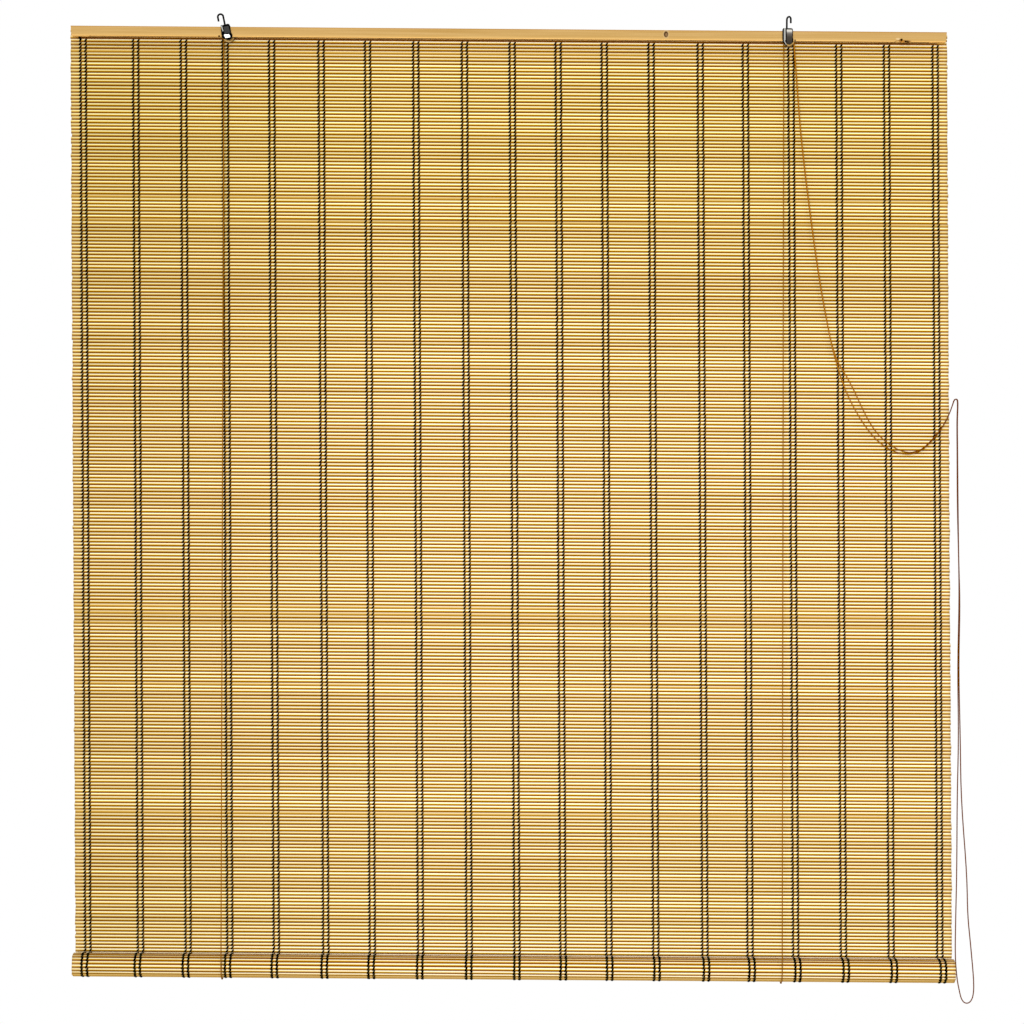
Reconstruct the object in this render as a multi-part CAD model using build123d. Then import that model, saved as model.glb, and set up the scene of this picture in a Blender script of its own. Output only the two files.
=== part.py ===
from build123d import *
import math
import os

# Roll-up window blind. A mat of thin bamboo sticks, twined with dark thread, hangs from a wooden
# head rail. Its foot is rolled up towards the viewer and lies in two cord slings. The cords run
# over small pulleys under the rail and come down together as one pull loop.
# Millimetres. X is to the viewer's right, Y away from the viewer, Z up. The origin lies on the line
# on which the two hooks hang, midway along the rail.

# Driving dimensions
blind_width = 1524.0
hang_height = 24.0          # from the top of the rail up to the seats of the hooks
roll_axis_drop = 1630.8     # from the top of the rail down to the axis of the roll
mat_lean = 21.0             # how far the foot of the mat hangs to the right of its head

# Head rail
rail_height = 16.8
rail_depth = 15.4
rail_end_slant = 1.6
channel_width = 9.0
channel_depth = 11.5
channel_end = 30.0
chip_centre_share = 0.898   # of half the width, where a torn knot left a hollow in the lower edge
chip_length = 30.0
chip_height = 2.4
chip_depth = 2.8

# Mat and roll
mat_overhang = 2.8          # past each end of the rail
stick_pitch = 5.9
mat_thickness = 4.0
ridge_depth = 1.5
crest_start_share = 0.22
crest_end_share = 0.78
mat_head_gap = 2.0          # the mat's head stays this far below the top of the rail
gap_every = 5               # one row in so many is open between the sticks
gap_height = 0.5
gap_margin = 30.0
roll_radius = 23.0
roll_turns = 2.25
turn_pitch = 4.9
dowel_inset = 3.0

# Threads
thread_width = 1.6
thread_thickness = 0.6
thread_spacing = 9.2        # between the two threads of a pair
thread_seat = 0.05
binding_diameter = 1.2
roll_thread_start_angle = 8.0    # degrees round the roll from the back of it
roll_thread_end_angle = 320.0
roll_thread_sides = 10
pair_shares = (-0.972, -0.852, -0.743, -0.648, -0.542, -0.429, -0.323, -0.213, -0.102, 0.007,
               0.112, 0.217, 0.324, 0.436, 0.539, 0.643, 0.752, 0.861, 0.972)

# Back slat and its fixings
slat_thickness = 5.0
tack_shares = (-0.95, -0.72, -0.48, -0.24, 0.0, 0.24, 0.48, 0.72, 0.95)
tack_head_radius = 3.2
tack_head_height = 1.1
tack_shank_radius = 0.9
staple_wire = 1.2
staple_leg_depth = 3.0
staple_room = 0.3
staple_height_share = 0.45  # of the rail's height, above the lower edge of the slat
knot_radius = 2.4
knot_rise = 6.0             # from the staple up to the knot
knot_taper = 25.0           # degrees

# Hangers
small_sides = 8
boss_sides = 10
axle_sides = 12
wheel_sides = 20
hanger_share = 0.640        # of half the width, where each axle stands
sheet_thickness = 1.5
plate_width = 12.6
boss_radius = 7.4           # round foot of each plate, about the axle
plate_corner = 2.6
corner_share = 0.3
bridge_room = 3.2           # between the bridge of the frame and the top of the rail
plate_room = 0.3
left_lean = -12.0           # degrees, top to the left
recess_width = 26.0
axle_rise = 1.0             # above the lower edge of the rail
notch_width = 4.0
axle_radius = 1.5
axle_head_radius = 3.0
axle_head_height = 1.0
axle_head_edge = 0.6
sheave_radius = 9.4
sheave_width = 4.1
sheave_spacing = 4.2
sheave_pitch_radius = 8.8
groove_mouth = 3.0
groove_room = 0.1
bore_room = 0.05
spacer_radius = 4.0
hook_wire_radius = 1.6
hook_bend_radius = 4.75     # at the middle of the wire
hook_tip_length = 7.0
hook_head_radius = 2.4
hook_head_height = 1.1
hook_room = 0.1
left_hook_turn = 0.0        # degrees about the shank
right_hook_turn = 130.0
left_hook_offset = -2.4     # from the middle of the frame
right_hook_offset = -3.4

# Cords
cord_radius = 1.0
cord_sides = 6
sling_share = 0.6365        # of half the width, where the slings pass under the roll
cord_lead = 0.5
cord_gap = 0.3
clearance = 0.3
overrun = 1.0

# Route of the pull cord, from the back sheave down to the loop and up again to the front sheave:
# the way to the right of the sheaves, the share of the way to the back groove, and the height
pull_route = [
    (2.5, 1, -29), (6.5, 1, -79), (13.5, 1, -164), (27, 1, -273), (45, 1, -399), (60, 1, -481),
    (71, 1, -531), (83, 1, -562), (96, 1, -581), (110, 1, -607), (124, 1, -637), (139, 1, -666),
    (156, 1, -688), (179, 1, -706), (204, 1, -716), (227, 1, -711), (245, 1, -694), (261, 1, -675),
    (274, 1, -653), (282, 1, -631), (284.6, 1, -621), (290.2, 1, -621), (290.6, 1, -633),
    (289.6, 1, -659), (290.5, 1, -711), (291.5, 1, -809), (295, 1, -909), (296, 1, -979),
    (294, 1, -1089), (297, 1, -1209), (295, 1, -1317), (295.5, 1, -1437), (294, 1, -1534),
    (293.5, 0.95, -1591), (297, 0.9, -1631), (301.3, 0.71, -1652), (304.5, 0.48, -1665.5),
    (310, 0.24, -1673), (318, -0.24, -1673), (323.8, -0.48, -1665), (326, -0.67, -1651),
    (325.5, -0.86, -1631), (323, -0.95, -1604), (319, -1, -1564), (314, -1, -1519), (312.5, -1, -1449),
    (301, -1, -1317), (299, -1, -1209), (295, -1, -1089), (297, -1, -979), (294, -1, -909),
    (292, -1, -809), (290.5, -1, -711), (289.6, -1, -659), (290.6, -1, -633), (290.2, -1, -621),
    (284.6, -1, -621), (281, -1, -632), (273, -1, -654), (260, -1, -676), (244, -1, -696),
    (226, -1, -713), (204, -1, -719), (178, -1, -713), (158, -1, -701), (140, -1, -684),
    (120, -1, -656), (103, -1, -626), (90, -1, -596), (80, -1, -565), (70, -1, -531), (60, -1, -481),
    (45, -1, -399), (27, -1, -273), (13.5, -1, -164), (6.5, -1, -79), (2.5, -1, -29),
]

# Places that follow from the sizes
half_width = blind_width / 2
mat_half = half_width + mat_overhang
rail_top = -hang_height
rail_bottom = rail_top - rail_height
rail_front = -rail_depth / 2
rail_back = rail_depth / 2
mat_front = rail_back
mat_back = mat_front + mat_thickness
mat_top = rail_top - mat_head_gap
slat_back = mat_back + slat_thickness
axle_z = rail_bottom + axle_rise
hanger_x = hanger_share * half_width
spiral_radius = roll_radius - mat_thickness / 2
roll_y = mat_front + mat_thickness / 2 - spiral_radius
roll_z = rail_top - roll_axis_drop
mat_foot = roll_z + clearance
stick_count = round((mat_top - mat_foot) / stick_pitch)
row_pitch = (mat_top - mat_foot) / stick_count
thread_step = (roll_thread_end_angle - roll_thread_start_angle) / roll_thread_sides
thread_bulge = 1 / math.cos(math.radians(thread_step / 2))
sling_radius = roll_radius + clearance + cord_radius
sling_x = sling_share * half_width
staple_z = rail_bottom + staple_height_share * rail_height
cord_back_y = slat_back + cord_radius + clearance
back_groove_y = sheave_spacing / 2
front_groove_y = -sheave_spacing / 2
bridge_under = rail_height - axle_rise + bridge_room
plate_front = rail_front - plate_room - sheet_thickness
plate_back = mat_front - thread_seat - binding_diameter - clearance
recess_depth = rail_back - plate_back + sheet_thickness + plate_room


def lean_at(z):
    """Sideways shift of the mat at a height."""
    return mat_lean * (mat_top - z) / (mat_top - roll_z)


def thread_places():
    """Sideways places of all the threads at the head of the mat."""
    for share in pair_shares:
        yield share * mat_half - thread_spacing / 2
        yield share * mat_half + thread_spacing / 2


def make_head_rail():
    """Batten with a cord channel in its underside, and a recess and axle notches at each hanger."""
    low = half_width - rail_end_slant
    outline = Polyline((-half_width, rail_top), (half_width, rail_top),
                       (low, rail_bottom), (-low, rail_bottom), close=True)
    rail = extrude(Plane.XZ * make_face(outline), amount=rail_depth / 2, both=True)
    low_face = (Align.CENTER, Align.CENTER, Align.MIN)
    channel = Box(blind_width - 2 * channel_end, channel_width, channel_depth + overrun, align=low_face)
    rail -= Pos(0, 0, rail_bottom - overrun) * channel
    recess = Box(recess_width, recess_depth + overrun, rail_height + 2 * overrun,
                 align=(Align.CENTER, Align.MIN, Align.MIN))
    notch_height = axle_rise + axle_radius + clearance + overrun
    notch = Box(notch_width, rail_depth + 2 * overrun, notch_height, align=low_face)
    for x in (-hanger_x, hanger_x):
        rail -= Pos(x, rail_back - recess_depth, rail_bottom - overrun) * recess
        rail -= Pos(x, 0, rail_bottom - overrun) * notch
    chip_radius = ((chip_length / 2) ** 2 + chip_height ** 2) / (2 * chip_height)
    hollow = Rot(X=90) * Cylinder(chip_radius, 2 * chip_depth)
    chip_x = chip_centre_share * half_width
    return rail - Pos(chip_x, rail_front, rail_bottom + chip_height - chip_radius) * hollow


def make_back_slat():
    """Slat behind the head of the mat, drilled for its tacks and staples."""
    slat = Pos(0, mat_back, rail_bottom) * Box(
        blind_width, slat_thickness, rail_height, align=(Align.CENTER, Align.MIN, Align.MIN))
    return slat - make_slat_tacks() - make_cord_staples()


def make_slat_tacks():
    """Round-headed tacks in a row."""
    shank = extrude(Plane.XZ * RegularPolygon(tack_shank_radius, small_sides), amount=slat_thickness)
    head = extrude(Plane.XZ * RegularPolygon(tack_head_radius, small_sides), amount=-tack_head_height)
    place_z = (rail_top + rail_bottom) / 2
    return Compound([Pos(share * half_width, slat_back, place_z) * (shank + head) for share in tack_shares])


def make_cord_staples():
    """One wire staple over the fixed end of each lift cord."""
    half_span = cord_radius + staple_room + staple_wire / 2
    crown = cord_back_y + cord_radius + staple_room
    foot = slat_back - staple_leg_depth
    leg = Box(staple_wire, crown - foot, staple_wire, align=(Align.CENTER, Align.MIN, Align.CENTER))
    bar = Box(2 * half_span + staple_wire, staple_wire, staple_wire,
              align=(Align.CENTER, Align.MIN, Align.CENTER))
    wire = Pos(-half_span, foot, 0) * leg + Pos(half_span, foot, 0) * leg + Pos(0, crown, 0) * bar
    return Compound([Pos(x, 0, staple_z) * wire for x in (-sling_x, sling_x)])


def make_mat():
    """Wall of stick ridges, open between the sticks at some rows."""
    front, back = [], []
    for row in range(stick_count):
        head = mat_top - row * row_pitch
        front.append((mat_front + ridge_depth, head))
        front.append((mat_front, head - crest_start_share * row_pitch))
        front.append((mat_front, head - crest_end_share * row_pitch))
        back.append((mat_back - ridge_depth, head))
        back.append((mat_back, head - row_pitch / 2))
    front.append((mat_front + ridge_depth, mat_foot))
    back.append((mat_back - ridge_depth, mat_foot))
    outline = [(lean_at(z) - mat_half, y, z) for y, z in front + back[::-1]]
    wall = extrude(make_face(Polyline(*outline, close=True)), amount=2 * mat_half, dir=(1, 0, 0))
    slot = Box(2 * (mat_half - gap_margin), mat_thickness + 2 * overrun, gap_height)
    mid_y = (mat_front + mat_back) / 2
    rows = [mat_top - row * row_pitch for row in range(gap_every, stick_count, gap_every)]
    return wall - [Pos(lean_at(z), mid_y, z) * slot for z in rows if z < rail_bottom]


def make_thread_strip(x, y, head, foot):
    """Thread that runs straight down one face of the mat."""
    corners = [(x - thread_width / 2, head), (x + thread_width / 2, head),
               (x + thread_width / 2, foot), (x - thread_width / 2, foot)]
    face = make_face(Polyline(*[(cx + lean_at(z), y, z) for cx, z in corners], close=True))
    return extrude(face, amount=thread_thickness, dir=(0, 1, 0))


def make_mat_threads():
    """All threads of the mat, on its front and its back."""
    front_y = mat_front - thread_seat - thread_thickness
    front_head = rail_bottom - clearance - binding_diameter - thread_seat
    back_head = rail_bottom - clearance
    strips = []
    for x in thread_places():
        strips.append(make_thread_strip(x, front_y, front_head, mat_foot))
        strips.append(make_thread_strip(x, mat_back + thread_seat, back_head, mat_foot))
    return Compound(strips)


def make_binding_thread():
    """Thread along the foot of the rail, from the first thread pair to the last."""
    places = list(thread_places())
    radius = binding_diameter / 2
    thread = Rot(Y=90) * Cylinder(radius, places[-1] - places[0])
    middle = (places[-1] + places[0]) / 2
    return Pos(middle, mat_front - thread_seat - radius, rail_bottom - clearance / 2 - radius) * thread


def spiral(angle):
    """Middle radius of the rolled mat at an angle in radians from the back of the roll."""
    return spiral_radius - turn_pitch * angle / math.tau


def on_roll(x, angle, radius):
    """Point at an angle round the roll, which runs from the back under the roll to the front."""
    return (x, roll_y + radius * math.cos(angle), roll_z - radius * math.sin(angle))


def make_mat_roll():
    """Rolled foot of the mat: stick ridges along a spiral."""
    outer_crest, inner_crest = mat_thickness / 2, -mat_thickness / 2
    outer_valley, inner_valley = outer_crest - ridge_depth, inner_crest + ridge_depth
    start = mat_lean - mat_half
    outer, inner = [], []
    angle = 0.0
    while angle < roll_turns * math.tau:
        step = stick_pitch / spiral(angle)
        rises = ((0, outer_valley), (crest_start_share, outer_crest), (crest_end_share, outer_crest))
        for share, rise in rises:
            here = angle + share * step
            outer.append(on_roll(start, here, spiral(here) + rise))
        inner.append(on_roll(start, angle, spiral(angle) + inner_valley))
        middle = angle + step / 2
        inner.append(on_roll(start, middle, spiral(middle) + inner_crest))
        angle += step
    outer.append(on_roll(start, angle, spiral(angle) + outer_valley))
    inner.append(on_roll(start, angle, spiral(angle) + inner_valley))
    outline = Polyline(*outer, *inner[::-1], close=True)
    return extrude(make_face(outline), amount=2 * mat_half, dir=(1, 0, 0))


def make_roll_threads():
    """Threads round the outer turn of the roll."""
    angles = [math.radians(roll_thread_start_angle + i * thread_step) for i in range(roll_thread_sides + 1)]
    bands = []
    for place in thread_places():
        x = place + mat_lean - thread_width / 2
        seats = [(spiral(a) + mat_thickness / 2 + thread_seat) * thread_bulge for a in angles]
        inner = [on_roll(x, a, r) for a, r in zip(angles, seats)]
        outer = [on_roll(x, a, r + thread_thickness) for a, r in zip(angles, seats)]
        bands.append(extrude(make_face(Polyline(*inner, *outer[::-1], close=True)),
                             amount=thread_width, dir=(1, 0, 0)))
    return Compound(bands)


def make_foot_dowel():
    """Round bar at the core of the roll."""
    radius = spiral(roll_turns * math.tau + stick_pitch / spiral_radius) - mat_thickness / 2 - clearance
    bar = Rot(Y=90) * Cylinder(radius, 2 * (mat_half - dowel_inset))
    return Pos(mat_lean, roll_y, roll_z) * bar


def place_hanger(shape, side):
    """Sets a hanger's piece, made about its axle, at the left or the right of the rail."""
    if side == "left":
        return Pos(-hanger_x, 0, axle_z) * Rot(Y=left_lean) * shape
    return Pos(hanger_x, 0, axle_z) * shape


def make_hanger_frame(hook_offset):
    """Pressed steel frame folded over the rail: two plates, joined by a bridge."""
    top = bridge_under + sheet_thickness
    half = plate_width / 2
    meeting = min(half, boss_radius)
    waist = math.sqrt(boss_radius ** 2 - meeting ** 2)
    shoulder = [(half, waist)] if boss_radius < half else []
    start = math.pi - math.asin(waist / boss_radius)
    sweep_angle = math.pi + 2 * math.asin(waist / boss_radius)
    outline = []
    for i in range(boss_sides + 1):
        angle = start + sweep_angle * i / boss_sides
        outline.append((boss_radius * math.cos(angle), boss_radius * math.sin(angle)))
    near, far = half - plate_corner, half - plate_corner * corner_share
    outline += shoulder + [(half, top - plate_corner), (far, top - half + far), (near, top)]
    outline += [(-near, top), (-far, top - half + far), (-half, top - plate_corner)]
    outline += [(-x, z) for x, z in shoulder]
    depth = plate_back - plate_front
    plate = make_face(Polyline(*outline, close=True))
    block = Pos(0, plate_back, 0) * extrude(Plane.XZ * plate, amount=depth)
    room = Box(2 * (max(half, boss_radius) + overrun), depth - 2 * sheet_thickness, bridge_under + 2 * boss_radius,
               align=(Align.CENTER, Align.MIN, Align.MAX))
    frame = block - Pos(0, plate_front + sheet_thickness, bridge_under) * room
    bore = extrude(Plane.XZ * RegularPolygon(axle_radius, axle_sides), amount=depth + overrun, both=True)
    hook_hole = Pos(hook_offset, 0, top) * Cylinder(hook_wire_radius + hook_room, 2 * sheet_thickness + overrun)
    return frame - bore - hook_hole


def make_axle():
    """Pin through both plates, with a round head in front and a flush tail."""
    pin = extrude(Plane.XZ * RegularPolygon(axle_radius, axle_sides), amount=plate_back - plate_front)
    head = extrude(Plane.XZ * RegularPolygon(axle_head_radius, axle_sides), amount=axle_head_height)
    head = chamfer(head.faces().sort_by(Axis.Y)[0].edges(), axle_head_edge)
    return Pos(0, plate_back, 0) * pin + Pos(0, plate_front, 0) * head


def make_sheave(y):
    """Grooved wheel on the axle."""
    root = sheave_pitch_radius - cord_radius - groove_room
    disc = extrude(Plane.XZ * RegularPolygon(sheave_radius, wheel_sides), amount=sheave_width / 2, both=True)
    ring = RegularPolygon(sheave_radius + overrun, wheel_sides) - RegularPolygon(root, wheel_sides)
    disc -= extrude(Plane.XZ * ring, amount=groove_mouth / 2, both=True)
    bore = Rot(X=90) * Cylinder(axle_radius + bore_room, 2 * sheave_width)
    return Pos(0, y, 0) * (disc - bore)


def make_spacer():
    """Plain collar that fills the place of the second wheel."""
    collar = RegularPolygon(spacer_radius, axle_sides) - Circle(axle_radius + bore_room)
    return Pos(0, front_groove_y, 0) * extrude(Plane.XZ * collar, amount=sheave_width / 2, both=True)


def make_hook(turn, offset):
    """Wire hook that turns in the bridge of the frame, with a head under it."""
    seat = hang_height + rail_height - axle_rise
    bend = seat - hook_bend_radius + hook_wire_radius
    start = bridge_under - hook_head_height
    shank = Line((0, 0, start), (0, 0, bend))
    arch = ThreePointArc((0, 0, bend), (-hook_bend_radius, 0, bend + hook_bend_radius),
                         (-2 * hook_bend_radius, 0, bend))
    tip = Line((-2 * hook_bend_radius, 0, bend), (-2 * hook_bend_radius, 0, bend - hook_tip_length))
    path = shank + arch + tip
    wire = sweep(Plane((0, 0, start)) * RegularPolygon(hook_wire_radius, small_sides), path)
    disc = RegularPolygon(hook_head_radius, small_sides)
    head = Pos(0, 0, start) * extrude(disc, amount=hook_head_height - bore_room)
    return Pos(offset, 0, 0) * Rot(Z=turn) * (wire + head)


def make_tube(path):
    """Cord along a path."""
    return sweep(Plane(origin=path @ 0, z_dir=path % 0) * RegularPolygon(cord_radius, cord_sides), path)


def make_front_run(side):
    """Lift cord from the sheave down to the front of the roll."""
    x, y = (-hanger_x, back_groove_y) if side < 0 else (hanger_x, front_groove_y)
    head = (x - sheave_pitch_radius, y, axle_z - cord_lead - cord_gap)
    foot = (side * sling_x, roll_y - sling_radius, roll_z + cord_gap)
    return make_tube(Line(head, foot))


def make_sling(side):
    """Bight of the lift cord that carries the roll."""
    x = side * sling_x
    return make_tube(ThreePointArc((x, roll_y + sling_radius, roll_z), (x, roll_y, roll_z - sling_radius),
                                   (x, roll_y - sling_radius, roll_z)))


def make_back_run(side):
    """Lift cord up the back of the mat to the knot above its staple."""
    x = side * sling_x
    foot = (x, roll_y + sling_radius, roll_z + cord_gap)
    head = (x, cord_back_y, staple_z + knot_rise)
    half_knot = extrude(RegularPolygon(knot_radius, cord_sides), amount=knot_radius, taper=knot_taper)
    knot = half_knot + Rot(X=180) * half_knot
    return make_tube(Line(foot, head)) + Pos(x, slat_back + knot_radius + clearance, head[2]) * knot


def over_sheaves(first_x, last_x, y):
    """Path of a cord up the left of one sheave, over it and down the right of another or the same."""
    top = axle_z + sheave_pitch_radius
    foot = axle_z - cord_lead
    slant = sheave_pitch_radius * math.sqrt(0.5)
    left, right = first_x - sheave_pitch_radius, last_x + sheave_pitch_radius
    path = Line((left, y, foot), (left, y, axle_z))
    path += ThreePointArc((left, y, axle_z), (first_x - slant, y, axle_z + slant), (first_x, y, top))
    if last_x > first_x:
        path += Line((first_x, y, top), (last_x, y, top))
    path += ThreePointArc((last_x, y, top), (last_x + slant, y, axle_z + slant), (right, y, axle_z))
    path += Line((right, y, axle_z), (right, y, foot))
    return path


def make_sheave_cords():
    """The left cord over two sheaves and along the rail, and the right cord over its own sheave."""
    left_cord = make_tube(over_sheaves(-hanger_x, hanger_x, back_groove_y))
    return Compound([left_cord, make_tube(over_sheaves(hanger_x, hanger_x, front_groove_y))])


def make_pull_cord():
    """Free loop of cord from the right sheaves, hung over a pin and down to its bight."""
    exit_x, exit_z = hanger_x + sheave_pitch_radius, axle_z - cord_lead - cord_gap
    points = [Vector(exit_x, back_groove_y, exit_z)]
    for right, share, height in pull_route:
        points.append(Vector(exit_x + right, share * back_groove_y, exit_z + height))
    points.append(Vector(exit_x, front_groove_y, exit_z))
    radii = []
    for before, here, after in zip(points, points[1:], points[2:]):
        run_in, run_out = here - before, after - here
        half_turn = math.radians(run_in.get_angle(run_out)) / 2
        radii.append(0.45 * min(run_in.length, run_out.length) / math.tan(half_turn))
    path = FilletPolyline(*points, radius=radii)
    tube = make_tube(path)
    section = RegularPolygon(cord_radius, cord_sides).area
    print("pull cord radii", [round(r, 1) for r in radii])
    print("pull cord length", round(path.length, 1), "volume", round(tube.volume, 1),
          "section times length", round(section * path.length, 1))
    return tube


def main():
    """Writes every piece."""
    pieces = {
        "head_rail": make_head_rail(),
        "back_slat": make_back_slat(),
        "slat_tacks": make_slat_tacks(),
        "cord_staples": make_cord_staples(),
        "mat": make_mat(),
        "mat_threads": make_mat_threads(),
        "binding_thread": make_binding_thread(),
        "mat_roll": make_mat_roll(),
        "roll_threads": make_roll_threads(),
        "foot_dowel": make_foot_dowel(),
        "left_sheave": place_hanger(make_sheave(back_groove_y), "left"),
        "left_spacer": place_hanger(make_spacer(), "left"),
        "left_hook": place_hanger(make_hook(left_hook_turn, left_hook_offset), "left"),
        "right_back_sheave": place_hanger(make_sheave(back_groove_y), "right"),
        "right_front_sheave": place_hanger(make_sheave(front_groove_y), "right"),
        "right_hook": place_hanger(make_hook(right_hook_turn, right_hook_offset), "right"),
        "sheave_cords": make_sheave_cords(),
        "cord_slings": Compound([make_sling(-1), make_sling(1)]),
        "pull_cord": make_pull_cord(),
    }
    for name, side, offset in (("left", -1, left_hook_offset), ("right", 1, right_hook_offset)):
        pieces[name + "_frame"] = place_hanger(make_hanger_frame(offset), name)
        pieces[name + "_axle"] = place_hanger(make_axle(), name)
        pieces[name + "_lift_cord_front"] = make_front_run(side)
        pieces[name + "_lift_cord_back"] = make_back_run(side)
    os.makedirs("parts", exist_ok=True)
    for name, shape in pieces.items():
        export_step(shape, f"parts/{name}.step")


main()
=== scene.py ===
"""Looks of a roll-up blind: bamboo sticks twined with dark thread, a wooden head rail, pulley
hangers, and brown cord. Metres, in the frame of the part: X right, Y away from the viewer, Z up."""

import math

import bpy
import numpy as np
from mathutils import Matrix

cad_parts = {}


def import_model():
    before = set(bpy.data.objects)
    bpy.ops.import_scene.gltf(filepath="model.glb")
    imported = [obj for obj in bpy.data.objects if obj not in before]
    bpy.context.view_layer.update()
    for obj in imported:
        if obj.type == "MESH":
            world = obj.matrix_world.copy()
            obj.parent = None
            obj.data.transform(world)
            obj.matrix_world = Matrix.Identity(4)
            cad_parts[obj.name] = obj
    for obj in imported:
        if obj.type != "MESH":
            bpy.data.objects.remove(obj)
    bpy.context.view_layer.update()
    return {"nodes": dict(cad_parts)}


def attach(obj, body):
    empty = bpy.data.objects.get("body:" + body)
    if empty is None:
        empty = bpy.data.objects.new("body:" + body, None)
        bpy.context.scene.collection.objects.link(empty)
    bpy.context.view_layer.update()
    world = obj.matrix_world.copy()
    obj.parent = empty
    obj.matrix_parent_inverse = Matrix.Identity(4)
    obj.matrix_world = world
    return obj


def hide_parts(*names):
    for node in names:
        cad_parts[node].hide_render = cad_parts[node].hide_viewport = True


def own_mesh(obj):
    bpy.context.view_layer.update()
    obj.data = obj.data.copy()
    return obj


noise_source = np.random.default_rng(11)

# Sizes that the looks share with the part
mat_half = 0.7648
rail_top = -0.024
rail_height = 0.0168
rail_bottom = rail_top - rail_height
rail_front = -0.0077
mat_front = 0.0077
mat_thickness = 0.004
mat_middle = mat_front + mat_thickness / 2
mat_top = -0.026
mat_lean = 0.021
stick_pitch = 0.0059
roll_radius = 0.023
roll_turns = 2.25
turn_pitch = 0.0049
spiral_radius = roll_radius - mat_thickness / 2
roll_y = mat_middle - spiral_radius
roll_z = -1.6548
seat_gap = 0.0003
mat_foot = roll_z + seat_gap
stick_count = round((mat_top - mat_foot) / stick_pitch)
row_pitch = (mat_top - mat_foot) / stick_count
thread_spacing = 0.0092
pair_shares = (-0.972, -0.852, -0.743, -0.648, -0.542, -0.429, -0.323, -0.213, -0.102, 0.007,
               0.112, 0.217, 0.324, 0.436, 0.539, 0.643, 0.752, 0.861, 0.972)
front_splits = (14, 26)
back_split = 19
axle_z = -0.0398
hanger_x = 0.48768
sheave_pitch_radius = 0.0088
groove_y = 0.0021
cord_radius = 0.001
sling_x = 0.485013
sling_radius = 0.0243
cord_start_drop = 0.0008
cord_start = axle_z - cord_start_drop
slat_back_cord = 0.018
knot_z = -0.02724
millimetre = 0.001
cord_sides = 8
run_steps = 24

# Sticks
stick_sides = 8
stick_sections = 12
stick_bow = 0.0001
stick_end_spread = 0.0004
stick_end_bands = (0.006, 0.014, 0.024)
stick_squareness = 2.2
stick_height_shares = (1.06, 1.13)
stick_depth_shares = (0.82, 1.0)
bow_waves = (4.1, 11.0)
sway_waves = (5.3, 13.0)
small_wave_share = 0.6
sway_share = 0.6
flat_share = 0.05
flat_strength_share = 0.6
# Below this height the sticks of the roll are painted an even tan without the highlight: painted shade on the
# underside of the roll
smooth_drop = 0.0145
smooth_below = roll_z - smooth_drop

# Threads
strand_radius = 0.0017
strand_slant = 0.0016
strand_flatness_share = 0.6
strand_bulge = 0.0006
mat_strand_length = 0.0056
roll_strand_length = 0.0080
roll_strand_sink = 0.0002
strand_swell_share = 1.15
strand_taper_share = 0.45
bulge_middle_share = 0.45
strand_wander = 0.00018
strand_sides = 4
strand_rings = 4

# Pressed sheet of the hangers, in mm from the axle: right and up
left_lean = math.radians(-12)
plate_front = -0.0095
cover_front = -0.0108
lip_front = -0.0114
wing_front = -0.0093
wing_back = -0.0082
wing_face = -0.0098
left_cover = [(-4.9, 16.5), (3.9, 16.5), (4.6, 4.5), (-5.2, 4.5)]
left_lip = [(-6.8, 2.4), (-5.5, 3.2), (2.2, 1.6), (3.4, -1.5), (2.7, -3.6), (-5.1, -3.4), (-5.9, -1.8)]
left_wing = [(-9.2, 20.5), (-6.0, 20.5), (-6.0, -4.5), (-8.5, -3.5), (-10.6, -0.9), (-11.3, 2.7),
             (-10.4, 12)]
left_glint = [(-9.0, 19.9), (-7.1, 19.5), (-6.3, 9.6), (-7.6, 8.8), (-9.0, 15.9)]
right_cover = [(-4.4, 18.0), (4.2, 18.0), (4.9, 15.0), (4.9, -5.5), (2.5, -7.0), (-2.5, -7.0),
               (-4.6, -5.5)]
right_wing = [(-10.5, 20.5), (-6.0, 20.5), (-6.0, -6.0), (-3.4, -9.8), (-5.2, -10.6), (-8.8, -6.5),
              (-11.0, -2.9), (-11.9, 2.0), (-11.9, 18.0)]
right_glint = [(-9.3, 20.2), (-6.6, 20.2), (-6.4, 0), (-7.6, -1.5), (-4.4, -8.6), (-5.4, -8.8),
               (-9.0, -2.5), (-9.3, 0)]

# Torn place on the lower edge of the rail and the knot of the binding, in mm about their middles
tear_spot = (0.684, -0.0400)
tear_front = -0.0085
tear_flake = [(-5.6, 0.2), (-3.4, 2.0), (-1.6, 0.8), (0.4, 2.8), (2.0, 1.0), (6.0, 0.4), (2.6, -1.8),
              (0.4, -3.0), (-2.2, -1.6)]
tear_hole = [(-3.0, 2.4), (-1.6, 4.2), (0.6, 3.6), (0.9, 1.2), (-0.6, -0.8), (-2.8, 0.2)]
tear_streak = [(4.0, 0.6), (9.0, -0.2), (13.0, -1.0), (11.5, -3.0), (5.0, -2.0)]
hole_front = -0.0092
binding_spot = (-0.7482, -0.0432)
binding_front = 0.0030
binding_knot = [(-2.2, 0.2), (-1.2, 2.0), (1.2, 2.0), (2.2, 0.4), (1.2, -1.8), (-0.8, -2.2)]

# Painted shade on the mat: darker towards its left edge, and in bands below the rail and above the roll
painted_shade_left = -0.76
painted_shade_left_end = -0.16
painted_shade_tint = (0.82, 0.80, 0.68, 1.0)
painted_shade_bands = ((0.0, (1.0, 1.0, 1.0, 1.0)), (0.03, (0.93, 0.93, 0.74, 1.0)), (0.10, (0.91, 0.91, 0.70, 1.0)),
               (0.42, (1.0, 1.0, 1.0, 1.0)), (0.70, (1.0, 1.0, 1.0, 1.0)), (0.96, (0.92, 0.92, 0.84, 1.0)),
               (0.985, (1.0, 1.0, 1.0, 1.0)))
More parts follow.
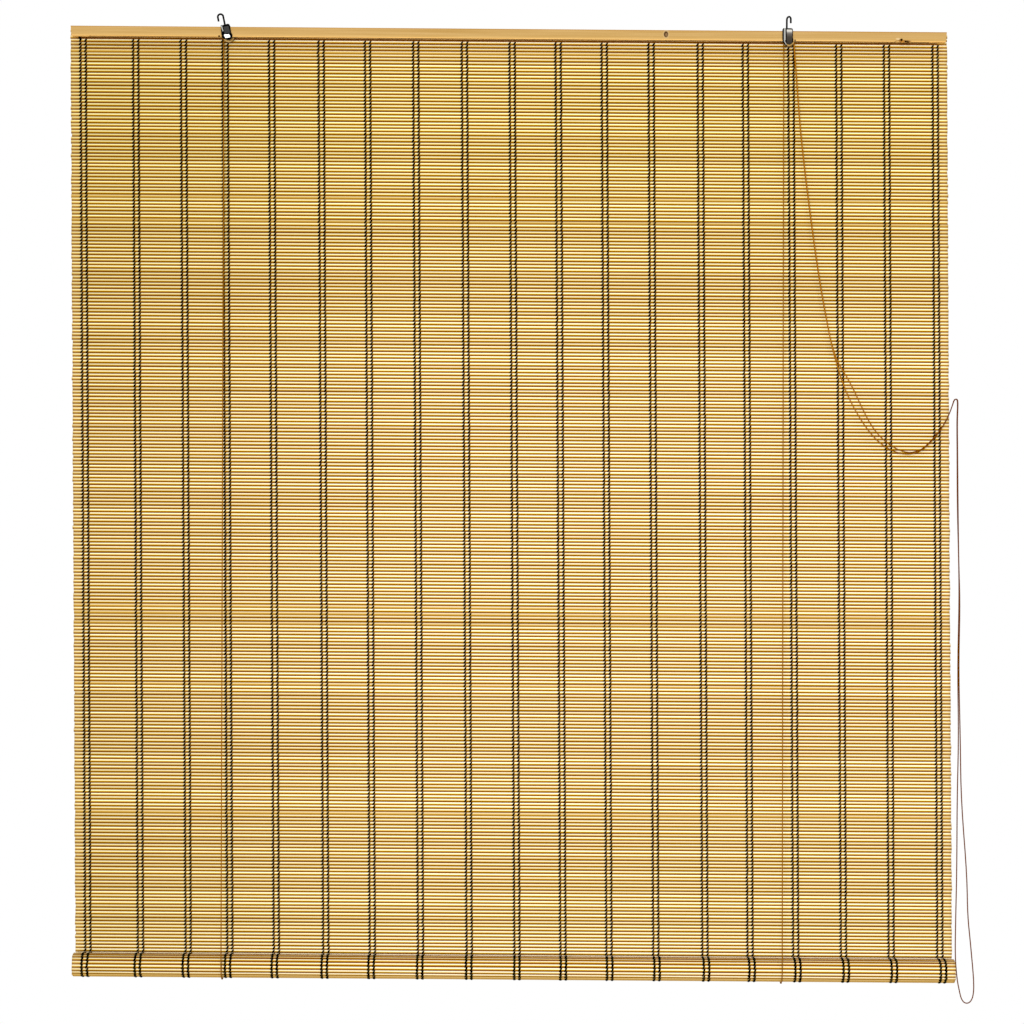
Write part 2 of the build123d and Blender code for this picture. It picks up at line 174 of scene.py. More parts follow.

# Colours by place: over the height of a stick, with a painted highlight on its upper side and painted shade
# in the grooves; over the height of the rail, with painted light on its underside and lower edge and darker
# at its top edge; up a hanger, a painted reflection near its top; along the pull cord
stick_highlight_and_shade = ((0.0, (0.04, 0.008, 0.0, 1.0)), (0.12, (0.19, 0.045, 0.0, 1.0)),
                 (0.37, (0.34, 0.145, 0.0, 1.0)), (0.52, (0.66, 0.45, 0.01, 1.0)),
                 (0.70, (1.0, 0.94, 0.74, 1.0)), (0.89, (0.94, 0.84, 0.64, 1.0)),
                 (1.0, (0.14, 0.04, 0.0, 1.0)))
rail_light_and_shade = ((0.0, (2.2, 2.1, 1.9, 1.0)), (0.02, (2.0, 1.9, 1.7, 1.0)), (0.06, (1.1, 1.1, 1.1, 1.0)),
                (0.18, (1.16, 1.18, 1.2, 1.0)), (0.30, (1.0, 1.0, 1.0, 1.0)),
                (0.88, (1.0, 1.0, 1.0, 1.0)), (0.96, (0.86, 0.74, 0.52, 1.0)))
# Painted reflection up the cover of the right hanger: dark below, bright near the top
sheen_low = -0.008
sheen_high = 0.018
sheen_colours = ((0.0, (0.026, 0.022, 0.018, 1.0)), (0.50, (0.044, 0.038, 0.03, 1.0)),
                (0.72, (0.10, 0.09, 0.08, 1.0)), (0.82, (0.24, 0.23, 0.21, 1.0)),
                (0.90, (0.53, 0.51, 0.46, 1.0)), (1.0, (0.42, 0.40, 0.36, 1.0)))
pull_dark_x = 0.785
pull_colours = ((0.0, (0.30, 0.115, 0.004, 1.0)), (0.35, (0.30, 0.115, 0.004, 1.0)),
                (0.70, (0.17, 0.055, 0.001, 1.0)), (1.0, (0.11, 0.026, 0.0, 1.0)))
white = (1.0, 1.0, 1.0, 1.0)
bamboo_stretch = (7.0, 500.0, 500.0)
pine_stretch = (5.0, 260.0, 260.0)
mark_core_share = 0.6

# Materials of one colour: colour, roughness, metallic
plain_paints = {
    "black_enamel": ((0.002, 0.002, 0.002, 1.0), 0.6, 0.0),
    "dark_sheet": ((0.033, 0.033, 0.033, 1.0), 0.6, 0.0),
    # Grey sheets as painted highlights on the side wings of the hangers
    "highlight_grey": ((0.31, 0.31, 0.29, 1.0), 0.6, 0.0),
    # A white sheet as a painted reflection on the bent lip of the left hanger
    "reflection_white": ((0.95, 0.95, 0.94, 1.0), 0.6, 0.0),
    "bright_steel": ((0.72, 0.72, 0.70, 1.0), 0.25, 1.0),
    "pale_plastic": ((0.46, 0.30, 0.10, 1.0), 0.45, 0.0),
    # The binding thread is painted as dark as the line under the rail: its own dark colour and painted shadow
    # of the rail
    "binding_with_shadow": ((0.07, 0.014, 0.0, 1.0), 0.85, 0.0),
    "torn_wood": ((0.38, 0.16, 0.025, 1.0), 0.8, 0.0),
    "dark_wood": ((0.02, 0.006, 0.0, 1.0), 0.8, 0.0),
    "floor_paint": ((0.8, 0.8, 0.8, 1.0), 0.8, 0.0),
}

# Lights: energy, angle of the sun, tilt from straight down, turn, in degrees
suns = {"key": (2.62, 24, 87, -10), "top_fill": (1.0, 40, 40, 10), "back_fill": (1.6, 40, -70, 20)}
room_colour = (1.0, 0.98, 0.95, 1.0)
room_strength = 0.6
floor_size = 4.0
floor_place = (0.0, -0.4, -2.25)

# Camera: sensor in mm, then its distance, the width of its view at the part, its place and its roll
sensor_width = 36.0
camera_distance = 4.5
view_width = 1.7838
camera_x = 0.012
camera_z = -0.864
camera_roll = -math.radians(0.435)

# Marks on the wood: centre, stretch of each axis, reach, colour
wood_marks = [
    ((0.2735, rail_front, -0.0312), (1.0, 1.0, 0.72), 0.0062, (0.49, 0.34, 0.16, 1.0)),
    ((0.2735, rail_front, -0.0312), (1.0, 1.0, 0.72), 0.0048, (0.045, 0.017, 0.004, 1.0)),
    ((0.2740, rail_front, -0.0318), (1.0, 1.0, 0.72), 0.0026, (0.19, 0.11, 0.05, 1.0)),
    ((0.688, rail_front, -0.0402), (0.16, 1.0, 1.0), 0.0022, (0.12, 0.045, 0.008, 1.0)),
    ((0.681, rail_front, -0.0393), (1.0, 1.0, 1.0), 0.0030, (0.02, 0.006, 0.0, 1.0)),
    ((0.677, rail_front, -0.0362), (0.5, 1.0, 1.0), 0.0022, (0.53, 0.38, 0.19, 1.0)),
    # Two small dark spots on the lower edge of the rail, beside the hangers
    ((0.498, rail_front, -0.0398), (1.0, 0.3, 1.0), 0.0016, (0.0, 0.0, 0.0, 1.0)),
    ((-0.5035, rail_front, -0.0402), (0.7, 0.3, 1.0), 0.0016, (0.03, 0.008, 0.0, 1.0)),
]

# Way of the pull cord from the sheaves: to the right, share of the way to the back groove, height, in mm
pull_route = [
    (2.5, 1, -29), (6.5, 1, -79), (13.5, 1, -164), (27, 1, -273), (45, 1, -399), (60, 1, -481),
    (71, 1, -531), (83, 1, -562), (96, 1, -581), (110, 1, -607), (124, 1, -637), (139, 1, -666),
    (156, 1, -688), (179, 1, -706), (204, 1, -716), (227, 1, -711), (245, 1, -694), (261, 1, -675),
    (274, 1, -653), (282, 1, -631), (284.6, 1, -621), (290.2, 1, -621), (290.6, 1, -633),
    (289.6, 1, -659), (290.5, 1, -711), (291.5, 1, -809), (295, 1, -909), (296, 1, -979),
    (294, 1, -1089), (297, 1, -1209), (295, 1, -1317), (295.5, 1, -1437), (294, 1, -1534),
    (293.5, 0.95, -1591), (297, 0.9, -1631), (301.3, 0.71, -1652), (304.5, 0.48, -1665.5),
    (310, 0.24, -1673), (318, -0.24, -1673), (323.8, -0.48, -1665), (326, -0.67, -1651),
    (325.5, -0.86, -1631), (323, -0.95, -1604), (319, -1, -1564), (314, -1, -1519), (312.5, -1, -1449),
    (301, -1, -1317), (299, -1, -1209), (295, -1, -1089), (297, -1, -979), (294, -1, -909),
    (292, -1, -809), (290.5, -1, -711), (289.6, -1, -659), (290.6, -1, -633), (290.2, -1, -621),
    (284.6, -1, -621), (281, -1, -632), (273, -1, -654), (260, -1, -676), (244, -1, -696),
    (226, -1, -713), (204, -1, -719), (178, -1, -713), (158, -1, -701), (140, -1, -684),
    (120, -1, -656), (103, -1, -626), (90, -1, -596), (80, -1, -565), (70, -1, -531), (60, -1, -481),
    (45, -1, -399), (27, -1, -273), (13.5, -1, -164), (6.5, -1, -79), (2.5, -1, -29),
]


def lean_at(z):
    """Sideways shift of the mat at a height."""
    return mat_lean * (mat_top - z) / (mat_top - roll_z)


def thread_places():
    """Sideways places of all the threads at the head of the mat."""
    places = []
    for share in pair_shares:
        places.append(share * mat_half - thread_spacing / 2)
        places.append(share * mat_half + thread_spacing / 2)
    return np.array(places)


def add_mesh(name, verts, faces, material, body, tints=None):
    """Smooth mesh from arrays, with an optional colour for each vertex."""
    mesh = bpy.data.meshes.new(name)
    mesh.from_pydata(verts.tolist(), [], faces)
    mesh.polygons.foreach_set("use_smooth", [True] * len(mesh.polygons))
    if tints is not None:
        layer = mesh.color_attributes.new(name="tint", type="FLOAT_COLOR", domain="POINT")
        layer.data.foreach_set("color", tints.astype(np.float32).ravel())
    mesh.materials.append(material)
    piece = bpy.data.objects.new(name, mesh)
    bpy.context.scene.collection.objects.link(piece)
    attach(piece, body)
    return piece


def ring_faces(count, rings, sides):
    """Quads of many tubes, each of so many rings, and the caps at their ends."""
    faces = []
    for tube in range(count):
        first = tube * rings * sides
        for ring in range(rings - 1):
            low = first + ring * sides
            for i in range(sides):
                j = (i + 1) % sides
                faces.append((low + i, low + j, low + sides + j, low + sides + i))
        last = first + (rings - 1) * sides
        faces.append(tuple(first + i for i in reversed(range(sides))))
        faces.append(tuple(last + i for i in range(sides)))
    return faces


def wavy(x, waves, phases):
    """Two waves along a stick, the second one smaller."""
    return np.sin(x * waves[0] + phases[0]) + small_wave_share * np.sin(x * waves[1] + phases[1])


def make_sticks(name, places, sense, material, body):
    """Bamboo sticks. Each place is its middle (y, z), its height direction and its sideways shift."""
    angles = np.arange(stick_sides) * math.tau / stick_sides + math.pi / stick_sides
    power = 2 / stick_squareness
    tallest = np.sin(math.pi / 2 - math.pi / stick_sides) ** power
    across = np.sign(np.cos(angles)) * np.abs(np.cos(angles)) ** power
    along = np.sign(np.sin(angles)) * np.abs(np.sin(angles)) ** power / tallest
    bands = np.array(stick_end_bands)
    verts, tints = [], []
    for y, z, up_y, up_z, shift in places:
        left = shift - mat_half + noise_source.normal(0, stick_end_spread)
        right = shift + mat_half + noise_source.normal(0, stick_end_spread)
        inner = np.linspace(left + bands[-1], right - bands[-1], stick_sections)
        x = np.concatenate(([left], left + bands[:-1], inner, right - bands[-2::-1], [right]))
        half_high = row_pitch / 2 * noise_source.uniform(*stick_height_shares)
        half_deep = mat_thickness / 2 * noise_source.uniform(*stick_depth_shares)
        waves = noise_source.uniform(0, math.tau, 4)
        bend = stick_bow * wavy(x, bow_waves, waves[:2])
        sway = stick_bow * wavy(x, sway_waves, waves[2:])
        high = half_high * along[None, :] + bend[:, None]
        deep = half_deep * across[None, :] + sway[:, None] * sway_share
        py = y + high * up_y + deep * up_z
        pz = z + high * up_z - deep * up_y
        px = np.repeat(x[:, None], stick_sides, axis=1)
        verts.append(np.stack([px, py, pz], axis=-1).reshape(-1, 3))
        tone = noise_source.uniform(0, 1)
        flat = flat_strength_share * (noise_source.random() < flat_share)
        # flat marks the few real flat sticks, and also paints the underside of the roll an even tan as
        # painted shade
        if sense < 0 and z < smooth_below:
            flat = 1.0
        # rise runs up each stick and picks the painted highlight on its upper side and the painted shade in
        # its grooves; sense turns it over on the roll so that the highlight stays on the upper side
        rise = np.repeat(0.5 + sense * along[None, :] / 2, len(x), axis=0)
        ends = np.zeros(len(x))
        ends[:2], ends[-2:] = 1.0, 1.0
        ends[2], ends[-3] = 0.5, 0.5
        pale = np.repeat(ends[:, None], stick_sides, axis=1)
        tint = np.stack([np.full_like(px, tone), rise, pale, np.full_like(px, flat)], axis=-1)
        tints.append(tint.reshape(-1, 4))
    faces = ring_faces(len(places), len(x), stick_sides)
    return add_mesh(name, np.concatenate(verts), faces, material, body, np.concatenate(tints))


def mat_places():
    """Places of the sticks of the hanging mat."""
    rows = mat_top - (np.arange(stick_count) + 0.5) * row_pitch
    return [(mat_middle, z, 0.0, 1.0, lean_at(z)) for z in rows]


def spiral(angle):
    """Middle radius of the rolled mat at an angle from the back of the roll."""
    return spiral_radius - turn_pitch * angle / math.tau


def roll_angles():
    """Angles of the sticks of the roll."""
    angles = []
    angle = 0.0
    while angle < roll_turns * math.tau:
        step = stick_pitch / spiral(angle)
        angles.append(angle + step / 2)
        angle += step
    return angles


def roll_places():
    """Places of the sticks of the roll, the height direction along its turns."""
    places = []
    for a in roll_angles():
        r = spiral(a)
        y, z = roll_y + r * math.cos(a), roll_z - r * math.sin(a)
        places.append((y, z, math.sin(a), math.cos(a), mat_lean))
    return places


def make_strands(name, spots, length, material, body):
    """Twined strands, one over each stick. Each spot is x, y, z, then the way out from the mat (y, z)."""
    spots = np.array(spots)
    count = len(spots)
    share = np.linspace(-1, 1, strand_rings)
    turn = np.arange(strand_sides) * math.tau / strand_sides
    rise = share[:, None] * length / 2 + np.zeros(strand_sides)[None, :]
    thick = strand_radius * (strand_swell_share - strand_taper_share * share[:, None] ** 2)
    side = share[:, None] * strand_slant + thick * np.cos(turn)[None, :]
    lift = (bulge_middle_share - share[:, None] ** 2) * strand_bulge
    lift = lift + strand_flatness_share * thick * np.sin(turn)[None, :]
    wander = noise_source.normal(0, strand_wander, count)
    out_y, out_z = spots[:, 3], spots[:, 4]
    along_y, along_z = out_z, -out_y
    x = spots[:, 0, None, None] + wander[:, None, None] + side[None]
    y = spots[:, 1, None, None] + out_y[:, None, None] * lift[None] + along_y[:, None, None] * rise[None]
    z = spots[:, 2, None, None] + out_z[:, None, None] * lift[None] + along_z[:, None, None] * rise[None]
    verts = np.stack([x, y, z], axis=-1).reshape(-1, 3)
    tone = noise_source.random(count)
    tints = np.stack([tone, tone, tone, np.ones(count)], axis=-1)
    tints = np.repeat(tints, strand_rings * strand_sides, axis=0)
    return add_mesh(name, verts, ring_faces(count, strand_rings, strand_sides), material, body, tints)


def mat_strand_spots(places, facing):
    """Spots of the strands of some threads on the front (-1) or the back (1) of the mat."""
    rows = mat_top - (np.arange(stick_count) + 0.5) * row_pitch
    rows = rows[rows < rail_bottom]
    y = mat_middle + facing * mat_thickness / 2
    return [(x + lean_at(z), y, z, facing, 0.0) for x in places for z in rows]


def roll_strand_spots():
    """Spots of the strands round the outer turn of the roll."""
    spots = []
    for a in roll_angles():
        if a < math.tau:
            r = spiral(a) + mat_thickness / 2 - roll_strand_sink
            y, z = roll_y + r * math.cos(a), roll_z - r * math.sin(a)
            spots += [(x, y, z, math.cos(a), -math.sin(a)) for x in thread_places() + mat_lean]
    return spots


def make_run(name, head, foot, material, body):
    """Straight run of cord from head to foot, mostly up and down."""
    points = np.linspace(head, foot, run_steps + 1)
    turn = np.arange(cord_sides) * math.tau / cord_sides
    ring = np.stack([np.cos(turn), np.sin(turn), np.zeros(cord_sides)], axis=-1) * cord_radius
    verts = (points[:, None, :] + ring[None]).reshape(-1, 3)
    return add_mesh(name, verts, ring_faces(1, len(points), cord_sides), material, body)


def new_material(name, roughness):
    """Empty material, its node tree and its shader."""
    material = bpy.data.materials.new(name)
    material.use_nodes = True
    shader = material.node_tree.nodes["Principled BSDF"]
    shader.inputs["Roughness"].default_value = roughness
    shader.inputs["Specular IOR Level"].default_value = 0.0
    return material, material.node_tree, shader


def add_node(tree, kind, **values):
    """Node with values set on its named inputs or its own settings."""
    node = tree.nodes.new(kind)
    for key, value in values.items():
        if key in node.inputs:
            node.inputs[key].default_value = value
        else:
            setattr(node, key, value)
    return node


def mix_colours(tree, factor, first, second, blend="MIX"):
    """Colour mix. Each of the last two is a colour or a socket."""
    node = tree.nodes.new("ShaderNodeMix")
    node.data_type = "RGBA"
    node.blend_type = blend
    for index, value in ((0, factor), (6, first), (7, second)):
        if isinstance(value, (tuple, float)):
            node.inputs[index].default_value = value
        else:
            tree.links.new(value, node.inputs[index])
    return node.outputs[2]


def remap(tree, value, low, high, to_low, to_high):
    """Value moved from one range to another, kept in it."""
    node = add_node(tree, "ShaderNodeMapRange", clamp=True)
    for index, number in ((1, low), (2, high), (3, to_low), (4, to_high)):
        node.inputs[index].default_value = number
    tree.links.new(value, node.inputs[0])
    return node.outputs[0]


def colour_ramp(tree, value, stops):
    """Colour by a value, from stops of place and colour."""
    node = tree.nodes.new("ShaderNodeValToRGB")
    marks = node.color_ramp.elements
    while len(marks) < len(stops):
        marks.new(0.5)
    for mark, (place, colour) in zip(marks, stops):
        mark.position = place
        mark.color = colour
    tree.links.new(value, node.inputs["Fac"])
    return node.outputs["Color"]


def stretched_noise(tree, stretch, detail):
    """Noise on the object's own coordinates, drawn out along an axis."""
    place = add_node(tree, "ShaderNodeTexCoord")
    mapping = add_node(tree, "ShaderNodeMapping")
    mapping.inputs["Scale"].default_value = stretch
    noise = add_node(tree, "ShaderNodeTexNoise", Scale=1.0, Detail=detail)
    tree.links.new(place.outputs["Object"], mapping.inputs["Vector"])
    tree.links.new(mapping.outputs["Vector"], noise.inputs["Vector"])
    return noise.outputs["Fac"]


def object_axes(tree):
    """The object's own coordinates, one output for each axis."""
    place = add_node(tree, "ShaderNodeTexCoord")
    axes = add_node(tree, "ShaderNodeSeparateXYZ")
    tree.links.new(place.outputs["Object"], axes.inputs[0])
    return axes.outputs


def distance_from(tree, centre, stretch):
    """Distance from a centre on the object's own coordinates, each axis stretched."""
    place = add_node(tree, "ShaderNodeTexCoord")
    away = add_node(tree, "ShaderNodeVectorMath", operation="SUBTRACT")
    away.inputs[1].default_value = centre
    tree.links.new(place.outputs["Object"], away.inputs[0])
    scaled = add_node(tree, "ShaderNodeVectorMath", operation="MULTIPLY")
    scaled.inputs[1].default_value = stretch
    tree.links.new(away.outputs["Vector"], scaled.inputs[0])
    length = add_node(tree, "ShaderNodeVectorMath", operation="LENGTH")
    tree.links.new(scaled.outputs["Vector"], length.inputs[0])
    return length.outputs["Value"]


def make_bamboo():
    """Split bamboo: cream to tan sticks with a painted highlight on their upper sides and painted shade in
    the grooves, paler at the cut ends, and painted shade towards the left edge of the mat and in bands below
    the rail and above the roll.
    """
    material, tree, shader = new_material("bamboo", 0.5)
    tint = add_node(tree, "ShaderNodeAttribute", attribute_name="tint")
    parts = add_node(tree, "ShaderNodeSeparateColor")
    tree.links.new(tint.outputs["Color"], parts.inputs["Color"])
    streak = stretched_noise(tree, bamboo_stretch, 4.0)
    grain = remap(tree, streak, 0.3, 0.7, 0.0, 1.0)
    # Painted highlight on the upper side of each stick and painted shade in its grooves
    skin = colour_ramp(tree, parts.outputs["Green"], stick_highlight_and_shade)
    axes = object_axes(tree)
    # Painted shade: darker towards the left edge of the mat and in bands below the rail and above the roll
    near = remap(tree, axes["X"], painted_shade_left, painted_shade_left_end, 1.0, 0.0)
    down = remap(tree, axes["Z"], rail_bottom, mat_foot, 0.0, 1.0)
    for shade in (mix_colours(tree, grain, (0.94, 0.91, 0.84, 1.0), white),
                  mix_colours(tree, parts.outputs["Red"], (0.74, 0.69, 0.62, 1.0), white),
                  mix_colours(tree, near, white, painted_shade_tint),
                  colour_ramp(tree, down, painted_shade_bands)):
        skin = mix_colours(tree, 1.0, skin, shade, "MULTIPLY")
    end = remap(tree, parts.outputs["Blue"], 0.0, 1.0, 0.0, 0.22)
    pale = mix_colours(tree, end, skin, (0.54, 0.36, 0.13, 1.0))
    # Flat sticks, and the painted shade of the roll's underside: an even tan in place of the painted
    # highlight
    flat = remap(tree, tint.outputs["Alpha"], 0.0, 1.0, 0.0, 0.8)
    pale = mix_colours(tree, flat, pale, (0.40, 0.225, 0.03, 1.0))
    tree.links.new(pale, shader.inputs["Base Color"])
    return material


def make_pine():
    """Planed softwood with long grain, a ringed knot, two small dark spots and a torn place on the lower
    edge; painted light on its underside and lower edge, darker at its top edge.
    """
    material, tree, shader = new_material("pine", 0.55)
    streak = stretched_noise(tree, pine_stretch, 5.0)
    grain = remap(tree, streak, 0.3, 0.7, 0.0, 1.0)
    wood = mix_colours(tree, grain, (0.37, 0.22, 0.065, 1.0), (0.45, 0.29, 0.11, 1.0))
    # Painted light on the underside and lower edge of the rail, a lighter band above them, and darker at the
    # top edge
    rise = remap(tree, object_axes(tree)["Z"], rail_bottom, rail_top, 0.0, 1.0)
    wood = mix_colours(tree, 1.0, wood, colour_ramp(tree, rise, rail_light_and_shade), "MULTIPLY")
    for centre, stretch, reach, colour in wood_marks:
        spot = remap(tree, distance_from(tree, centre, stretch), reach * mark_core_share, reach, 1.0, 0.0)
        wood = mix_colours(tree, spot, wood, colour)
    tree.links.new(wood, shader.inputs["Base Color"])
    return material


def make_sheen_sheet():
    """Dark sheet steel with a painted reflection, bright near the top of the hanger."""
    material, tree, shader = new_material("sheen_sheet", 0.6)
    rise = remap(tree, object_axes(tree)["Z"], axle_z + sheen_low, axle_z + sheen_high, 0.0, 1.0)
    tree.links.new(colour_ramp(tree, rise, sheen_colours), shader.inputs["Base Color"])
    return material


def make_thread():
    """Dark twined thread, black strands and olive ones."""
    material, tree, shader = new_material("dark_thread", 0.85)
    tint = add_node(tree, "ShaderNodeAttribute", attribute_name="tint")
    tone = remap(tree, tint.outputs["Fac"], 0.45, 0.55, 0.0, 1.0)
    colour = mix_colours(tree, tone, (0.0, 0.0, 0.0, 1.0), (0.010, 0.008, 0.001, 1.0))
    tree.links.new(colour, shader.inputs["Base Color"])
    return material


def make_cord():
    """Twisted brown cord."""
    material, tree, shader = new_material("brown_cord", 0.8)
    place = add_node(tree, "ShaderNodeTexCoord")
    wave = add_node(tree, "ShaderNodeTexWave", Scale=90.0, Distortion=2.0, bands_direction="DIAGONAL")
    tree.links.new(place.outputs["Object"], wave.inputs["Vector"])
    colour = mix_colours(tree, wave.outputs["Fac"], (0.19, 0.075, 0.004, 1.0), (0.25, 0.105, 0.008, 1.0))
    tree.links.new(colour, shader.inputs["Base Color"])
    return material


def make_pull_brown():
    """Pull cord: golden where it lies over the mat, dark where it hangs free at the side."""
    material, tree, shader = new_material("pull_brown", 0.8)
    side = remap(tree, object_axes(tree)["X"], hanger_x, pull_dark_x, 0.0, 1.0)
    tree.links.new(colour_ramp(tree, side, pull_colours), shader.inputs["Base Color"])
    return material


def make_plain(name):
    """Material of one colour."""
    colour, roughness, metallic = plain_paints[name]
    material, _, shader = new_material(name, roughness)
    shader.inputs["Base Color"].default_value = colour
    shader.inputs["Metallic"].default_value = metallic
    return material


def dress(frame, names, material):
    """Gives CAD nodes a material."""
    for name in names:
        mesh = frame["nodes"][name].data
        mesh.materials.clear()
        mesh.materials.append(material)


def make_pull_cord(material):
    """The free loop of the pull cord."""
    curve = bpy.data.curves.new("pull_loop", "CURVE")
    curve.dimensions = "3D"
    curve.bevel_depth = cord_radius
    curve.bevel_resolution = 2
    curve.resolution_u = 4
    exit_x = hanger_x + sheave_pitch_radius
    points = [(exit_x, groove_y, cord_start)]
    for right, share, height in pull_route:
        points.append((exit_x + right * millimetre, share * groove_y, cord_start + height * millimetre))
    points.append((exit_x, -groove_y, cord_start))
    spline = curve.splines.new("NURBS")
    spline.points.add(len(points) - 1)
    for point, place in zip(spline.points, points):
        point.co = (*place, 1.0)
    spline.order_u = 3
    spline.use_endpoint_u = True
    curve.materials.append(material)
    piece = bpy.data.objects.new("pull_loop", curve)
    bpy.context.scene.collection.objects.link(piece)
    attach(piece, "rail")
    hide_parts("pull_cord")
    return piece


def make_mat_pieces(bamboo, thread):
    """The hanging mat: its sticks and its threads."""
    sticks = make_sticks("mat_sticks", mat_places(), 1, bamboo, "rail")
    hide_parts("mat")
    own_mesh(sticks)
    places = thread_places()
    first, second = front_splits
    groups = (("front_threads_left", places[:first], -1), ("front_threads_middle", places[first:second], -1),
              ("front_threads_right", places[second:], -1), ("back_threads_left", places[:back_split], 1),
              ("back_threads_right", places[back_split:], 1))
    for name, group, facing in groups:
        piece = make_strands(name, mat_strand_spots(group, facing), mat_strand_length, thread, "rail")
        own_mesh(piece)
        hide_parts("mat_threads")


def make_roll_pieces(bamboo, thread):
    """The rolled foot of the mat."""
    sticks = make_sticks("roll_sticks", roll_places(), -1, bamboo, "roll")
    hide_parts("mat_roll")
    strands = make_strands("roll_strands", roll_strand_spots(), roll_strand_length, thread, "roll")
    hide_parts("roll_threads")


def make_lift_cords(cord):
    """Straight runs of the lift cords, in front of the mat and behind it."""
    for side, name, groove in ((-1, "left", groove_y), (1, "right", -groove_y)):
        head = (side * hanger_x - sheave_pitch_radius, groove, cord_start)
        foot = (side * sling_x, roll_y - sling_radius, roll_z + seat_gap)
        front = make_run(name + "_front_run", head, foot, cord, "rail")
        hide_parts(name + "_lift_cord_front")
        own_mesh(front)
        head = (side * sling_x, slat_back_cord, knot_z)
        foot = (side * sling_x, roll_y + sling_radius, roll_z + seat_gap)
        back = make_run(name + "_back_run", head, foot, cord, "rail")
        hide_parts(name + "_lift_cord_back")
        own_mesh(back)


def make_sheet(name, outline, spot, lean, front, back, material, body):
    """Flat piece of sheet, from an outline in mm about a spot (x, z), leaned over."""
    right, up = np.array(outline).T * millimetre
    x = spot[0] + right * math.cos(lean) + up * math.sin(lean)
    z = spot[1] - right * math.sin(lean) + up * math.cos(lean)
    count = len(outline)
    rows = [np.stack([x, np.full(count, y), z], axis=-1) for y in (front, back)]
    piece = add_mesh(name, np.concatenate(rows), ring_faces(1, 2, count), material, body)
    piece.data.polygons.foreach_set("use_smooth", [False] * len(piece.data.polygons))
    return piece


def make_hanger_sheets(paints, sheen):
    """Covers, bent lip and side wings of the two hangers, with a painted reflection on the left lip and the
    right cover and painted highlights on the wings.
    """
    left, right = (-hanger_x, axle_z), (hanger_x, axle_z)
    for name, outline, spot, lean, front, back, material in (
            ("left_cover_sheet", left_cover, left, left_lean, cover_front, plate_front, paints["dark_sheet"]),
            ("left_lip_sheet", left_lip, left, left_lean, lip_front, plate_front, paints["reflection_white"]),
            ("left_wing_sheet", left_wing, left, left_lean, wing_front, wing_back, paints["black_enamel"]),
            ("left_glint_sheet", left_glint, left, left_lean, wing_face, wing_front, paints["highlight_grey"]),
            ("right_cover_sheet", right_cover, right, 0.0, cover_front, plate_front, sheen),
            ("right_wing_sheet", right_wing, right, 0.0, wing_front, wing_back, paints["black_enamel"]),
            ("right_glint_sheet", right_glint, right, 0.0, wing_face, wing_front, paints["highlight_grey"])):
        body = name.split("_")[0] + "_hanger"
        piece = make_sheet(name, outline, spot, lean, front, back, material, body)


def make_small_marks(torn, hole, thread):
    """Torn flake on the lower edge of the rail, and the knot that ends its binding."""
    for name, outline, spot, front, back, material, slot in (
            ("rail_flake", tear_flake, tear_spot, tear_front, rail_front, torn, "pine"),
            ("rail_flake_hole", tear_hole, tear_spot, hole_front, tear_front, hole, "pine"),
            ("rail_flake_streak", tear_streak, tear_spot, tear_front, rail_front, hole, "pine"),
            ("binding_knot", binding_knot, binding_spot, binding_front, mat_front, thread, "dark_thread")):
        piece = make_sheet(name, outline, spot, 0.0, front, back, material, "rail")


def add_sun(name):
    """Soft sun from the table of lights."""
    energy, angle, tilt, turn = suns[name]
    lamp = bpy.data.lights.new(name, "SUN")
    lamp.energy = energy
    lamp.angle = math.radians(angle)
    sun = bpy.data.objects.new(name, lamp)
    sun.rotation_euler = (math.radians(tilt), 0.0, math.radians(turn))
    bpy.context.scene.collection.objects.link(sun)


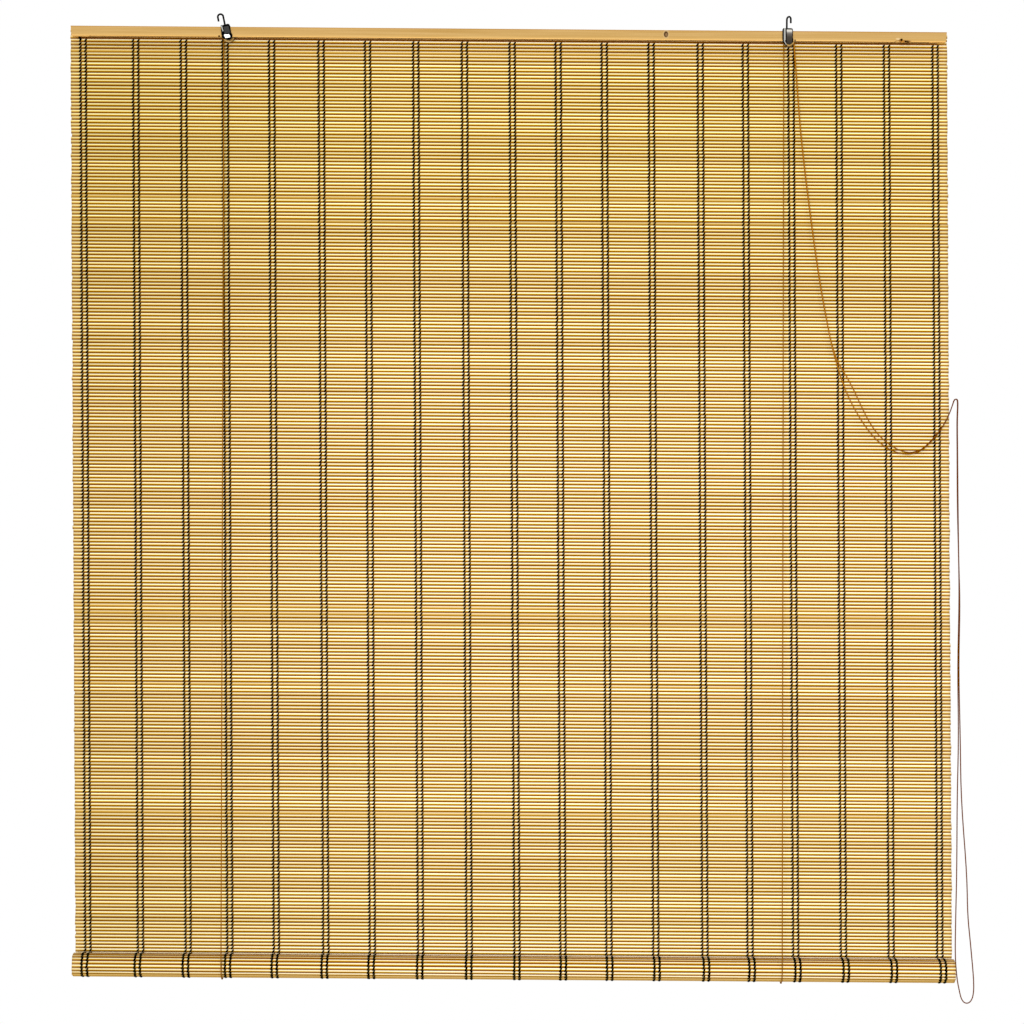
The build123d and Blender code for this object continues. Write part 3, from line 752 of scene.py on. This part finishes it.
def make_world():
    """Background that the camera sees as white, and that lights the part a little."""
    world = bpy.data.worlds.new("studio")
    world.use_nodes = True
    bpy.context.scene.world = world
    tree = world.node_tree
    tree.nodes.clear()
    path = tree.nodes.new("ShaderNodeLightPath")
    backdrop = add_node(tree, "ShaderNodeBackground", Color=white, Strength=1.0)
    room = add_node(tree, "ShaderNodeBackground", Color=room_colour, Strength=room_strength)
    pick = tree.nodes.new("ShaderNodeMixShader")
    out = tree.nodes.new("ShaderNodeOutputWorld")
    tree.links.new(path.outputs["Is Camera Ray"], pick.inputs[0])
    tree.links.new(room.outputs[0], pick.inputs[1])
    tree.links.new(backdrop.outputs[0], pick.inputs[2])
    tree.links.new(pick.outputs[0], out.inputs[0])


def make_stage(paint):
    """Pale floor below the frame, white background, soft suns in front, above and behind, and the camera."""
    scene = bpy.context.scene
    bpy.ops.mesh.primitive_plane_add(size=floor_size, location=floor_place)
    floor = bpy.context.object
    floor.name = "floor"
    floor.data.materials.append(paint)
    make_world()
    for name in suns:
        add_sun(name)
    camera_data = bpy.data.cameras.new("camera")
    camera_data.lens = sensor_width * camera_distance / view_width
    camera = bpy.data.objects.new("camera", camera_data)
    camera.location = (camera_x, -camera_distance, camera_z)
    camera.rotation_euler = (math.pi / 2, camera_roll, 0.0)
    scene.collection.objects.link(camera)
    scene.camera = camera
    scene.view_settings.view_transform = "Standard"


def dress_parts(frame, paints, pine, cord):
    """Materials of the CAD nodes that stay in sight."""
    dress(frame, ("head_rail", "back_slat", "foot_dowel"), pine)
    dress(frame, ("binding_thread",), paints["binding_with_shadow"])
    dress(frame, ("sheave_cords", "cord_slings"), cord)
    dress(frame, ("left_frame", "right_frame", "left_hook", "right_hook"), paints["black_enamel"])
    dress(frame, ("left_axle", "right_axle", "slat_tacks", "cord_staples"), paints["bright_steel"])
    sheaves = ("left_sheave", "left_spacer", "right_back_sheave", "right_front_sheave")
    dress(frame, sheaves, paints["pale_plastic"])


def main():
    """Builds everything around the frame."""
    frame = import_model()
    bamboo, pine, thread, cord = make_bamboo(), make_pine(), make_thread(), make_cord()
    paints = {name: make_plain(name) for name in plain_paints}
    dress_parts(frame, paints, pine, cord)
    make_hanger_sheets(paints, make_sheen_sheet())
    make_small_marks(paints["torn_wood"], paints["dark_wood"], thread)
    make_mat_pieces(bamboo, thread)
    make_roll_pieces(bamboo, thread)
    make_lift_cords(cord)
    make_pull_cord(make_pull_brown())
    make_stage(paints["floor_paint"])


main()
